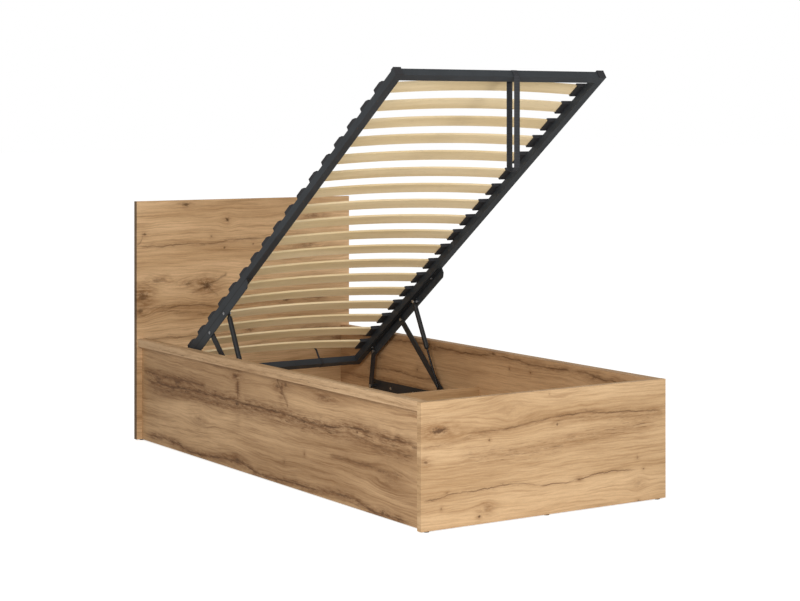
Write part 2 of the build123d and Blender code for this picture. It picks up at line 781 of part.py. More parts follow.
# The linkage's pivots and travel, for the record
print(f"arm pivot {arm_pivot_from_middle:.2f} {pivot_height:.2f} link pivot {link_pivot_y:.2f}")
print(f"arm top {arm_top_y:.2f} {arm_top_z:.2f} link top {link_top_y:.2f} {link_top_z:.2f}")
print(f"spring top {spring_top_y:.2f} {spring_top_z:.2f} foot {spring_foot_y:.2f} {spring_foot_z:.2f}")
print(f"arm swing {arm_angle_raised - arm_angle_lowered:.4f} frame {frame_tilt_raised:.4f}")
print(f"link swing {degrees(link_angle_raised - link_angle_lowered):.4f} length {link_length:.2f}")
print(f"spring swing {degrees(spring_angle - spring_angle_lowered):.4f} stroke {spring_stroke:.3f}")
print(f"spring direction {spring_plane.x_dir}")
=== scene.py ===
"""Looks of a single storage bed whose slatted base is tilted up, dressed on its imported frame."""

import logging
import math
from dataclasses import dataclass, field
from enum import Enum

import bmesh
import bpy
import numpy as np
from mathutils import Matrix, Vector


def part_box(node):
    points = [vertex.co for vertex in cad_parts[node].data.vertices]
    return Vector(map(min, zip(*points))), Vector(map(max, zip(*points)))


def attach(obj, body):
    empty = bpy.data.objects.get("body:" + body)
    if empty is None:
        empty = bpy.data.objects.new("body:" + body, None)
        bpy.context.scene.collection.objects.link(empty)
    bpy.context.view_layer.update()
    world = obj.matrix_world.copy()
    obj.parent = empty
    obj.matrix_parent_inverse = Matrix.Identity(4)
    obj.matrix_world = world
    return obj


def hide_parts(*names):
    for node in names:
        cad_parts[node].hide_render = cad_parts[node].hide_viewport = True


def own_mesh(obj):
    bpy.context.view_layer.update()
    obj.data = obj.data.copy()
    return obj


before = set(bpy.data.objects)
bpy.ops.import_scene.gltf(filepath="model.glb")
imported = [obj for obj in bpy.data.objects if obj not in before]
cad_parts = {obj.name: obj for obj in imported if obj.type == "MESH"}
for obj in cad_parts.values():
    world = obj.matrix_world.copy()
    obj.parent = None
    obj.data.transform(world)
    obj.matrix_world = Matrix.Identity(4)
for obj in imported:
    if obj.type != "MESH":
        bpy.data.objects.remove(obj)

log = logging.getLogger("storage_bed")
Point = tuple[float, float, float]


def tone(red: float, green: float, blue: float) -> tuple[float, float, float, float]:
    """Turn a screen colour of 0 to 255 into the linear colour that shaders take.

    Args:
        red: Red on the screen.
        green: Green on the screen.
        blue: Blue on the screen.

    Returns:
        The linear colour with full alpha.
    """
    s = np.array([red, green, blue]) / 255.0
    linear = np.where(s <= 0.04045, s / 12.92, ((s + 0.055) / 1.055) ** 2.4)
    return (float(linear[0]), float(linear[1]), float(linear[2]), 1.0)


# ---------------------------------------------------------------- shader maths


class Num:
    """A shader socket that carries one number, with Python's operators as Math nodes."""

    def __init__(self, dress: "Dress", socket: bpy.types.NodeSocket) -> None:
        """Wrap a socket of a material's node tree."""
        self.dress = dress
        self.socket = socket

    def _with(self, operation: str, *values: "Num | float", swap: bool = False) -> "Num":
        """Add one Math node on this number and the given ones.

        Args:
            operation: The node's operation.
            *values: The other terms.
            swap: Whether the terms change places.

        Returns:
            The result as a number.
        """
        terms = [self, *values]
        if swap:
            terms.reverse()
        made = self.dress.node("ShaderNodeMath", {"operation": operation}, dict(enumerate(terms)))
        return Num(self.dress, made.outputs[0])

    def __add__(self, other: "Num | float") -> "Num":
        """Sum."""
        return self._with("ADD", other)

    __radd__ = __add__

    def __sub__(self, other: "Num | float") -> "Num":
        """Difference."""
        return self._with("SUBTRACT", other)

    def __rsub__(self, other: "Num | float") -> "Num":
        """Reflected difference."""
        return self._with("SUBTRACT", other, swap=True)

    def __mul__(self, other: "Num | float") -> "Num":
        """Product."""
        return self._with("MULTIPLY", other)

    __rmul__ = __mul__

    def __truediv__(self, other: "Num | float") -> "Num":
        """Quotient."""
        return self._with("DIVIDE", other)

    def __rtruediv__(self, other: "Num | float") -> "Num":
        """Reflected quotient."""
        return self._with("DIVIDE", other, swap=True)

    def __pow__(self, other: "Num | float") -> "Num":
        """Power."""
        return self._with("POWER", other)

    def __neg__(self) -> "Num":
        """Minus this number."""
        return self._with("MULTIPLY", -1.0)

    def __abs__(self) -> "Num":
        """Size without sign."""
        return self._with("ABSOLUTE")

    def above(self, other: "Num | float") -> "Num":
        """One where this number is greater."""
        return self._with("GREATER_THAN", other)

    def most(self, other: "Num | float") -> "Num":
        """The larger of two numbers."""
        return self._with("MAXIMUM", other)

    def least(self, other: "Num | float") -> "Num":
        """The smaller of two numbers."""
        return self._with("MINIMUM", other)

    def sine(self) -> "Num":
        """Sine of an angle in radians."""
        return self._with("SINE")

    def bell(self) -> "Num":
        """Bell curve e to the minus x squared."""
        return Num(self.dress, self.dress.node(
            "ShaderNodeMath", {"operation": "POWER"}, {0: math.e, 1: -(self * self)}).outputs[0])

    def step(self, low: float, high: float) -> "Num":
        """Rise smoothly from 0 at low to 1 at high."""
        made = self.dress.node(
            "ShaderNodeMapRange", {"interpolation_type": "SMOOTHSTEP"}, {0: self, 1: low, 2: high, 3: 0.0, 4: 1.0})
        return Num(self.dress, made.outputs[0])


Colour = tuple[float, float, float, float] | bpy.types.NodeSocket


class Dress:
    """One procedural material in the making: its node tree and the few calls that grow it."""

    def __init__(self, name: str) -> None:
        """Start an empty material.

        Args:
            name: The material's name.
        """
        self.material = bpy.data.materials.new(name)
        self.material.use_nodes = True
        self.tree = self.material.node_tree
        self.tree.nodes.clear()
        self.surface = self.node("ShaderNodeBsdfPrincipled")
        out = self.node("ShaderNodeOutputMaterial")
        self.tree.links.new(self.surface.outputs[0], out.inputs[0])

    def node(self, kind: str, settings: dict | None = None, inputs: dict | None = None) -> bpy.types.Node:
        """Add one node.

        Args:
            kind: The node's type.
            settings: Its own settings, set before its sockets.
            inputs: Values or links by socket name or number.

        Returns:
            The new node.
        """
        made = self.tree.nodes.new(kind)
        for key, value in (settings or {}).items():
            if key == "points":
                curve = made.mapping.curves[0]
                for spot, (x, y) in enumerate(value):
                    if spot < 2 and spot < len(curve.points):
                        curve.points[spot].location = (x, y)
                    else:
                        curve.points.new(x, y)
                made.mapping.update()
            else:
                setattr(made, key, value)
        for key, value in (inputs or {}).items():
            self.feed(made.inputs[key], value)
        return made

    def feed(self, socket: bpy.types.NodeSocket, value: object) -> None:
        """Set a socket's value, or link it.

        Args:
            socket: The socket.
            value: A number, a colour, a link or a Num.
        """
        if isinstance(value, Num):
            value = value.socket
        if isinstance(value, bpy.types.NodeSocket):
            self.tree.links.new(value, socket)
        else:
            socket.default_value = value

    def place(self) -> tuple[Num, Num, Num]:
        """Object coordinates as three numbers, in metres."""
        here = self.node("ShaderNodeTexCoord").outputs["Object"]
        split = self.node("ShaderNodeSeparateXYZ", None, {0: here})
        return tuple(Num(self, socket) for socket in split.outputs)

    def spot(self, x: Num | float, y: Num | float, z: Num | float) -> bpy.types.NodeSocket:
        """Join three numbers into one place."""
        return self.node("ShaderNodeCombineXYZ", None, {0: x, 1: y, 2: z}).outputs[0]

    def cloud(self, at: bpy.types.NodeSocket, scale: float = 1.0, detail: float = 2.0, rough: float = 0.5) -> Num:
        """Fractal noise around one half.

        Args:
            at: The place it is read at.
            scale: How many lumps to a metre.
            detail: How many finer layers.
            rough: The weight of the finer layers.

        Returns:
            The noise as a number.
        """
        made = self.node(
            "ShaderNodeTexNoise", {"noise_dimensions": "3D"},
            {"Vector": at, "Scale": scale, "Detail": detail, "Roughness": rough})
        return Num(self, made.outputs[0])

    def blend(self, factor: Num | float, first: Colour, second: Colour, way: str = "MIX") -> Colour:
        """Mix two colours by a factor."""
        made = self.node("ShaderNodeMix", {"data_type": "RGBA", "blend_type": way}, {0: factor, 6: first, 7: second})
        return made.outputs[2]

    def shade(self, colour: Colour, light: Num) -> Colour:
        """Multiply a colour by a number."""
        grey = self.spot(light, light, light)
        made = self.node("ShaderNodeVectorMath", {"operation": "MULTIPLY"}, {0: colour, 1: grey})
        return made.outputs[0]

    def finish(
        self, colour: Colour, rough: Num | float, metal: float = 0.0, height: Num | None = None,
        depth: float = 0.001, strength: float = 0.4, **constants: float
    ) -> bpy.types.Material:
        """Feed the surface shader and hand over the material.

        Args:
            colour: Base colour.
            rough: Roughness.
            metal: Metalness.
            height: Relief between 0 and 1, if there is any.
            depth: The relief's depth in metres.
            strength: How far the relief turns the normals.
            **constants: Other shader inputs that are the same all over.

        Returns:
            The finished material.
        """
        self.feed(self.surface.inputs["Base Color"], colour)
        self.feed(self.surface.inputs["Roughness"], rough)
        self.surface.inputs["Metallic"].default_value = metal
        for key, value in constants.items():
            self.surface.inputs[key.replace("_", " ")].default_value = value
        if height is not None:
            bump = self.node("ShaderNodeBump", None, {"Strength": strength, "Distance": depth, "Height": height})
            self.tree.links.new(bump.outputs[0], self.surface.inputs["Normal"])
        return self.material


# ---------------------------------------------------------------- finishes


class Grain(Enum):
    """Which way a board's grain runs: along the bed's width, length or height."""

    WIDTH = 0
    LENGTH = 1
    HEIGHT = 2


@dataclass(frozen=True)
class Knot:
    """A knot in a board's face: its place along and across the grain, its size and its darkness."""

    along: float
    across: float
    size: float = 0.012
    dark: float = 0.8
    halo: float = 0.5
    stretch: float = 1.6


@dataclass(frozen=True)
class Crack:
    """A dark wandering split along the grain, with a brown stain beside it."""

    line: tuple[tuple[float, float], ...]
    width: float = 0.0022
    dark: float = 0.8
    stain: float = 0.45
    spread: float = 0.016
    flecks: float = 0.5


@dataclass(frozen=True)
class RusticOak:
    """Oak-look board: pale face, streaks that bend round knots, splits and brown stains, with optional painted shade
    on its −X end face.
    """

    name: str
    grain: Grain
    knots: tuple[Knot, ...] = ()
    cracks: tuple[Crack, ...] = ()
    seed: float = 0.0
    light: tuple[float, float, float] = (214, 180, 138)
    middle: tuple[float, float, float] = (180, 144, 102)
    brown: tuple[float, float, float] = (136, 96, 56)
    ink: tuple[float, float, float] = (78, 49, 24)
    # Painted shade on the board's −X end face, beyond the x given next.
    painted_shade_end: bool = False
    painted_shade_from: float = 0.4974
    bending_knots: tuple[float, float] = (0.009, 0.03)

    def make(self) -> bpy.types.Material:
        """Build the material.

        Each knot squeezes the grain lines round itself: the across coordinate is pulled towards
        the knot's own by a bell curve of the distance to it. Each split is a thin line that
        wanders about its drawn course, in a brown band with short dark flecks along the grain.

        Returns:
            The material.
        """
        d = Dress(self.name)
        x, y, z = d.place()
        along, across, through = ((x, z, y), (y, z, x), (z, x, y))[self.grain.value]
        sway = (d.cloud(d.spot(along * 1.3, across * 3.0, self.seed), 1.0, 2.0) - 0.5) * 0.05
        ripple = (d.cloud(d.spot(along * 11.0, across * 18.0, self.seed + 3.0), 1.0, 3.0, 0.6) - 0.5) * 0.014
        line = across + sway + ripple
        ink: Num | float = 0.0
        stain: Num | float = 0.0
        rough_edge = (d.cloud(d.spot(along * 70.0, across * 150.0, self.seed), 1.0, 3.0, 0.7) - 0.5) * 2.4
        mottle = d.cloud(d.spot(along * 20.0, across * 90.0, self.seed + 7.0), 1.0, 4.0, 0.7).step(0.34, 0.66)
        for knot in self.knots:
            far_along = (along - knot.along) / (knot.size * knot.stretch)
            far_across = (across - knot.across) / knot.size
            reach = (far_along * far_along + far_across * far_across) ** 0.5
            if self.bending_knots[0] < knot.size < self.bending_knots[1]:
                pull = (reach / 2.6).bell() * 0.85
                line = line - (across - knot.across) * pull
            core = 1.0 - (reach + rough_edge).step(0.15, 0.95)
            ink = (core * knot.dark).most(ink)
            stain = ((reach / 2.2).bell() * (mottle * 0.9 + 0.25) * knot.halo).most(stain)
        flecks = d.cloud(d.spot(along * 17.0, line * 210.0, self.seed + 9.0), 1.0, 3.0, 0.65).step(0.55, 0.66)
        strength = d.cloud(d.spot(along * 10.0, across * 12.0, self.seed + 11.0), 1.0, 2.0, 0.6).step(0.32, 0.62)
        for number, crack in enumerate(self.cracks):
            first, last = crack.line[0][0], crack.line[-1][0]
            low = min(p[1] for p in crack.line) - 0.01
            high = max(p[1] for p in crack.line) + 0.01
            points = tuple(((p[0] - first) / (last - first), (p[1] - low) / (high - low)) for p in crack.line)
            share = (along - first) / (last - first)
            drawn = Num(d, d.node("ShaderNodeFloatCurve", {"points": points}, {"Value": share}).outputs[0])
            wander = d.cloud(d.spot(along * 16.0, self.seed + number * 5.0, 0.5), 1.0, 5.0, 0.62) - 0.5
            off = across - (drawn * (high - low) + low) + wander * 0.022
            ends = share.step(-0.01, 0.05) * (1.0 - share.step(0.94, 1.01))
            split = (off / crack.width).bell() * ends * (strength * 0.75 + 0.25)
            band = (off / crack.spread).bell() * ends
            ink = (split * crack.dark).most(band * flecks * crack.flecks).most(ink)
            stain = (band * (mottle * 0.75 + 0.35) * crack.stain).most(stain)
        # Broad tone, streaks, veins, fibre and pores, all read along the bent grain lines
        broad = d.cloud(d.spot(along * 0.9, line * 7.0, through * 2.0 + self.seed), 1.0, 3.0).step(0.34, 0.66)
        streak = d.cloud(d.spot(along * 2.2, line * 46.0, through * 9.0 + self.seed), 1.0, 4.0, 0.6).step(0.36, 0.70)
        vein = d.cloud(d.spot(along * 7.0, line * 170.0, through * 30.0 + self.seed), 1.0, 3.0, 0.65).step(0.36, 0.70)
        fibre = d.cloud(d.spot(along * 22.0, line * 420.0, through * 60.0 + self.seed), 1.0, 2.0, 0.7)
        dust = d.cloud(d.spot(along * 150.0, across * 420.0, through * 150.0 + self.seed), 1.0, 2.0, 0.7)
        pores = d.cloud(d.spot(along * 60.0, line * 1100.0, through * 150.0 + self.seed), 1.0, 1.0).step(0.60, 0.78)
        rings = ((line * 560.0 + broad * 5.0 + streak * 2.0).sine() * 0.5 + 0.5) ** 3.0
        patch = d.cloud(d.spot(along * 1.7, across * 8.0, self.seed + 12.0), 1.0, 1.0).step(0.50, 0.68)
        colour = d.blend(broad * 0.66 + streak * 0.34, tone(*self.light), tone(*self.middle))
        colour = d.blend(vein * 0.24 + streak * vein * 0.30, colour, tone(*self.brown))
        colour = d.blend(rings * patch * 0.20, colour, tone(*self.brown))
        colour = d.blend(stain if isinstance(stain, float) else stain.least(0.85), colour, tone(*self.brown))
        colour = d.blend(ink if isinstance(ink, float) else ink.least(0.92), colour, tone(*self.ink))
        # Painted shade: the board's −X end face is darkened to a near-black brown, standing in for the shade that
        # falls on it.
        if self.painted_shade_end:
            colour = d.blend((-x).above(self.painted_shade_from) * 0.8, colour, tone(62, 44, 30))
        colour = d.shade(colour, 0.80 + fibre * 0.24 + dust * 0.20 - pores * 0.08)
        height = fibre * 0.6 - (ink if isinstance(ink, Num) else pores) * 0.5
        return d.finish(colour, 0.50 + fibre * 0.16, 0.0, height, 0.0006, 0.30, Specular_IOR_Level=0.32)


@dataclass(frozen=True)
class PaleWood:
    """Smooth light wood, with fine straight grain across the bed or along it."""

    name: str
    grain: Grain
    light: tuple[float, float, float] = (206, 188, 152)
    dark: tuple[float, float, float] = (180, 158, 118)
    gloss: float = 0.42

    def make(self) -> bpy.types.Material:
        """Build the material from stretched noise along the grain."""
        d = Dress(self.name)
        x, y, z = d.place()
        along, across, through = ((x, y, z), (y, x, z), (z, x, y))[self.grain.value]
        broad = d.cloud(d.spot(along * 1.6, across * 24.0, through * 24.0), 1.0, 3.0).step(0.30, 0.72)
        fibre = d.cloud(d.spot(along * 14.0, across * 520.0, through * 520.0), 1.0, 2.0, 0.6)
        fleck = d.cloud(d.spot(along * 40.0, across * 300.0, through * 300.0), 1.0, 0.0).step(0.66, 0.78)
        colour = d.blend(broad, tone(*self.light), tone(*self.dark))
        colour = d.shade(colour, 0.93 + fibre * 0.16 - fleck * 0.09)
        return d.finish(colour, self.gloss + fibre * 0.14, 0.0, fibre, 0.0004, 0.25, Specular_IOR_Level=0.35)


@dataclass(frozen=True)
class PowderCoat:
    """Fine dark powder coat on steel, slightly worn to a paler tone where it is rubbed, with an optional line of
    painted shade at a seam.
    """

    name: str
    colour: tuple[float, float, float] = (50, 51, 54)
    rough: float = 0.46
    pebble: float = 900.0
    painted_seam_shade: float = 0.0

    def make(self) -> bpy.types.Material:
        """Build the material from a pebbled relief and a faint cloudy tone."""
        d = Dress(self.name)
        x, y, z = d.place()
        at = d.spot(x, y, z)
        pebbles = d.cloud(at, self.pebble, 1.0, 0.5)
        cloudy = d.cloud(at, 7.0, 3.0, 0.6)
        scuff = d.cloud(d.spot(x * 30.0, y * 30.0, z * 140.0), 1.0, 3.0, 0.7).step(0.66, 0.80)
        red, green, blue = self.colour
        deep, pale = tone(red * 0.92, green * 0.92, blue * 0.92), tone(red * 1.08, green * 1.08, blue * 1.08)
        colour = d.blend(cloudy.step(0.3, 0.7), deep, pale)
        colour = d.blend(scuff * 0.18, colour, tone(104, 104, 106))
        # Painted shade: a near-black line where the angle meets the rail's underside, standing in for the shadow in
        # the gap between them.
        if self.painted_seam_shade > 0.0:
            height = (y - BASE.foot_y) * math.sin(BASE.tilt) + (z - BASE.foot_z) * math.cos(BASE.tilt)
            colour = d.blend((height / self.painted_seam_shade).bell() * 0.9, colour, tone(6, 6, 7))
        return d.finish(colour, self.rough + pebbles * 0.16, 0.0, pebbles, 0.0003, 0.22, Specular_IOR_Level=0.45)


@dataclass(frozen=True)
class MouldedPlastic:
    """Dark moulded plastic with a fine spark-eroded skin."""

    name: str
    colour: tuple[float, float, float] = (40, 40, 43)
    rough: float = 0.5

    def make(self) -> bpy.types.Material:
        """Build the material from two sizes of fine relief."""
        d = Dress(self.name)
        x, y, z = d.place()
        at = d.spot(x, y, z)
        skin = d.cloud(at, 2200.0, 1.0, 0.5)
        flow = d.cloud(at, 26.0, 2.0, 0.5)
        red, green, blue = self.colour
        colour = d.blend(flow, tone(red * 0.9, green * 0.9, blue * 0.9), tone(red * 1.12, green * 1.12, blue * 1.12))
        return d.finish(colour, self.rough + skin * 0.12, 0.0, skin, 0.0002, 0.15, Specular_IOR_Level=0.4)


@dataclass(frozen=True)
class PlatedSteel:
    """Bright or dark bare steel with fine turning marks."""

    name: str
    colour: tuple[float, float, float] = (196, 197, 200)
    rough: float = 0.3

    def make(self) -> bpy.types.Material:
        """Build the material from fine streaks in tone and roughness."""
        d = Dress(self.name)
        x, y, z = d.place()
        marks = d.cloud(d.spot(x * 900.0, y * 240.0, z * 240.0), 1.0, 2.0, 0.6)
        spots = d.cloud(d.spot(x, y, z), 320.0, 2.0, 0.6).step(0.55, 0.75)
        red, green, blue = self.colour
        colour = d.blend(spots * 0.5, tone(red, green, blue), tone(red * 0.8, green * 0.8, blue * 0.78))
        return d.finish(colour, self.rough + marks * 0.2, 1.0, marks, 0.0001, 0.12)


@dataclass(frozen=True)
class Webbing:
    """Woven strap: rows of herringbone ribs read from the strap's own length and width."""

    name: str
    colour: tuple[float, float, float] = (42, 43, 47)
    ribs: float = 11.0
    picks: float = 620.0

    def make(self) -> bpy.types.Material:
        """Build the material.

        A rib is a sine across the strap. The weft is a sine along it, shifted by half a turn
        from one rib to the next, which gives the herringbone.

        Returns:
            The material.
        """
        d = Dress(self.name)
        run = d.node("ShaderNodeUVMap", {"uv_map": "strap"}).outputs[0]
        split = d.node("ShaderNodeSeparateXYZ", None, {0: run})
        along, across = Num(d, split.outputs[0]), Num(d, split.outputs[1])
        rib = abs((across * (self.ribs * math.pi)).sine())
        slant = (along * self.picks + abs((across * (self.ribs * math.pi)).sine()) * 3.0).sine() * 0.5 + 0.5
        weave = rib * 0.6 + slant * 0.4
        fuzz = d.cloud(d.spot(along * 900.0, across * 30.0, 0.0), 1.0, 2.0, 0.6)
        red, green, blue = self.colour
        colour = d.blend(weave, tone(red * 0.6, green * 0.6, blue * 0.6), tone(red * 1.3, green * 1.3, blue * 1.3))
        return d.finish(d.shade(colour, 0.85 + fuzz * 0.3), 0.74 + fuzz * 0.14, 0.0, weave, 0.0006, 0.6)


# ---------------------------------------------------------------- surfaces


def grid_mesh(name: str, points: np.ndarray, loop_u: bool, loop_v: bool, ends: bool = False) -> bpy.types.Object:
    """Make a mesh of quads from a grid of points.

    Args:
        name: The new object's name.
        points: Array of rows by columns by 3, in metres.
        loop_u: Whether the last row joins the first.
        loop_v: Whether the last column joins the first.
        ends: Whether the first and last rows are closed with a face each.

    Returns:
        The object, at the origin.
    """
    rows, columns = points.shape[:2]
    index = np.arange(rows * columns).reshape(rows, columns)
    if loop_u:
        index = np.vstack([index, index[:1]])
    if loop_v:
        index = np.hstack([index, index[:, :1]])
    quads = np.stack([index[:-1, :-1], index[1:, :-1], index[1:, 1:], index[:-1, 1:]], axis=-1).reshape(-1, 4)
    faces = quads.tolist()
    if ends:
        faces.append(np.arange(columns).tolist())
        faces.append((np.arange(columns) + (rows - 1) * columns)[::-1].tolist())
    mesh = bpy.data.meshes.new(name)
    mesh.from_pydata(points.reshape(-1, 3).tolist(), [], faces)
    mesh.validate()
    mesh.update()
    made = bpy.data.objects.new(name, mesh)
    bpy.context.scene.collection.objects.link(made)
    return made


def face_outwards(piece: bpy.types.Object) -> None:
    """Merge doubles and turn every face of a closed piece outwards.

    Args:
        piece: The piece, whose mesh is changed in place.
    """
    work = bmesh.new()
    work.from_mesh(piece.data)
    bmesh.ops.remove_doubles(work, verts=work.verts, dist=1e-6)
    bmesh.ops.recalc_face_normals(work, faces=work.faces)
    work.to_mesh(piece.data)
    work.free()
    piece.data.update()


def smooth(piece: bpy.types.Object, angle: float = 40.0) -> None:
    """Shade a piece smooth, with creases kept above an angle in degrees."""
    piece.data.polygons.foreach_set("use_smooth", np.ones(len(piece.data.polygons), dtype=bool))
    piece.data.set_sharp_from_angle(angle=math.radians(angle))


def join(name: str, pieces: list[bpy.types.Object]) -> bpy.types.Object:
    """Gather several meshes into one object.

    Args:
        name: The joined object's name.
        pieces: The objects, all at the origin; they are used up.

    Returns:
        The joined object.
    """
    vertices, faces, base = [], [], 0
    for piece in pieces:
        mesh = piece.data
        flat = np.empty(len(mesh.vertices) * 3)
        mesh.vertices.foreach_get("co", flat)
        vertices.append(flat.reshape(-1, 3))
        faces += [[base + v for v in polygon.vertices] for polygon in mesh.polygons]
        base += len(mesh.vertices)
        bpy.data.objects.remove(piece)
    mesh = bpy.data.meshes.new(name)
    mesh.from_pydata(np.vstack(vertices).tolist(), [], faces)
    mesh.update()
    made = bpy.data.objects.new(name, mesh)
    bpy.context.scene.collection.objects.link(made)
    return made


def carry(path: np.ndarray, profile: np.ndarray, side: np.ndarray, closed: bool) -> np.ndarray:
    """Carry a flat profile along a path that lies in one plane.

    At each point of the path the profile's first axis is the plane's normal, and its second is
    the path's direction turned a quarter turn in the plane.

    Args:
        path: Points of the path, n by 3.
        profile: Points of the profile, m by 2.
        side: The plane's unit normal.
        closed: Whether the path's end joins its start.

    Returns:
        The points, n by m by 3.
    """
    if closed:
        heading = np.roll(path, -1, axis=0) - np.roll(path, 1, axis=0)
    else:
        heading = np.gradient(path, axis=0)
    heading /= np.linalg.norm(heading, axis=1, keepdims=True)
    up = np.cross(heading, side)
    return path[:, None, :] + profile[None, :, :1] * side + profile[None, :, 1:] * up[:, None, :]


def rounded_path(corners: np.ndarray, radius: float, steps: int = 10, closed: bool = False) -> np.ndarray:
    """Walk through corners, each cut by an arc.

    Args:
        corners: Corner points, n by 3.
        radius: The arcs' radius in metres.
        steps: Points in each arc.
        closed: Whether the last corner leads back to the first.

    Returns:
        The path's points.
    """
    count = len(corners)
    picks = range(count) if closed else range(1, count - 1)
    runs = [] if closed else [corners[:1]]
    for i in picks:
        here = corners[i]
        back = corners[i - 1] - here
        forth = corners[(i + 1) % count] - here
        back_length, forth_length = np.linalg.norm(back), np.linalg.norm(forth)
        back, forth = back / back_length, forth / forth_length
        half = math.acos(float(np.clip(-back @ forth, -1.0, 1.0))) / 2
        cut = min(radius * math.tan(half), back_length * 0.49, forth_length * 0.49)
        true_radius = cut / math.tan(half)
        middle = here + (back + forth) / np.linalg.norm(back + forth) * (true_radius / math.cos(half))
        t = np.linspace(-half, half, steps)[:, None]
        inward = (here - middle) / np.linalg.norm(here - middle)
        across = (forth - back) / np.linalg.norm(forth - back)
        runs.append(middle + true_radius * (inward * np.cos(t) + across * np.sin(t)))
    if not closed:
        runs.append(corners[-1:])
    return np.vstack(runs)


def ring(radius: float, count: int) -> np.ndarray:
    """Points of a circle, count by 2."""
    t = np.linspace(0.0, 2 * math.pi, count, endpoint=False)
    return np.stack([np.cos(t), np.sin(t)], axis=-1) * radius


# ---------------------------------------------------------------- the slatted base's own axes


@dataclass(frozen=True)
class RaisedFrame:
    """The raised base's own axes: along its rails from the foot end, and out of its mattress side."""

    foot_y: float
    foot_z: float
    tilt: float
    length: float = 1.991
    tube_width: float = 0.030
    tube_height: float = 0.026

    @property
    def along(self) -> np.ndarray:
        """Unit direction from the foot end to the head end."""
        return np.array([0.0, math.cos(self.tilt), -math.sin(self.tilt)])

    @property
    def out(self) -> np.ndarray:
        """Unit direction out of the mattress side."""
        return np.array([0.0, math.sin(self.tilt), math.cos(self.tilt)])

    def at(self, x: float, station: float, height: float) -> np.ndarray:
        """Place of a point given across, along and out of the base."""
        return np.array([x, self.foot_y, self.foot_z]) + self.along * station + self.out * height

    @classmethod
    def measured(cls, tilt: float) -> "RaisedFrame":
        """Find the base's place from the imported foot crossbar, given its tilt in radians."""
        low, high = (np.array(end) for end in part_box("foot_crossbar"))
        return cls(float(low[1]), float(high[2]) - cls.tube_height * math.cos(tilt), tilt)


BASE = RaisedFrame.measured(math.radians(35.86))


# ---------------------------------------------------------------- sub-assemblies


def clothe(nodes: list[str], material: bpy.types.Material) -> None:
    """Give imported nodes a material.

    Args:
        nodes: Node names.
        material: The material for all of their slots.
    """
    for name in nodes:
        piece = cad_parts[name]
        piece.data.materials.clear()
        piece.data.materials.append(material)
        log.info("dressed %s in %s", name, material.name)


